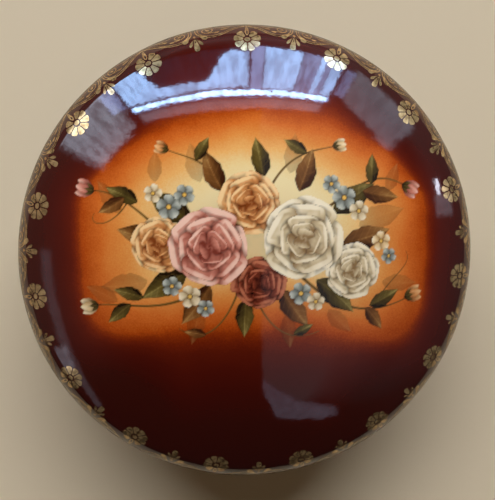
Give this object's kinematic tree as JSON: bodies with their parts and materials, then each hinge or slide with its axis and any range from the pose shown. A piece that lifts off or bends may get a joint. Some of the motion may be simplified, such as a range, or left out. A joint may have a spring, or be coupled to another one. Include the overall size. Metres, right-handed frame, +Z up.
{
  "type": "porcelain box",
  "caption": "Round porcelain box with a domed lid that lifts off a footed bowl and sits over an upright flange.",
  "frame": {"origin": "centre of the foot ring, on the plane that the box stands on", "axes": "+Z up along the axis of the box; the side nearest the viewer of the lid's picture faces -Y, and +X is to that viewer's right"},
  "size_m": [0.114, 0.114, 0.05],
  "materials": {
    "base_glaze": "gloss",
    "lid_glaze": "gloss",
    "white_glaze": "gloss",
    "bare_porcelain": "matte",
    "gilding": "satin",
    "flower_painting": "gloss"
  },
  "bodies": {
    "base": {"base": "base_glaze"},
    "lid": {"lid": "lid_glaze"}
  },
  "joints": [
    {"name": "lid_lift", "type": "slide", "parent": "base", "child": "lid", "axis": [0, 0, 1], "range_m": [0, 0.08]}
  ]
}
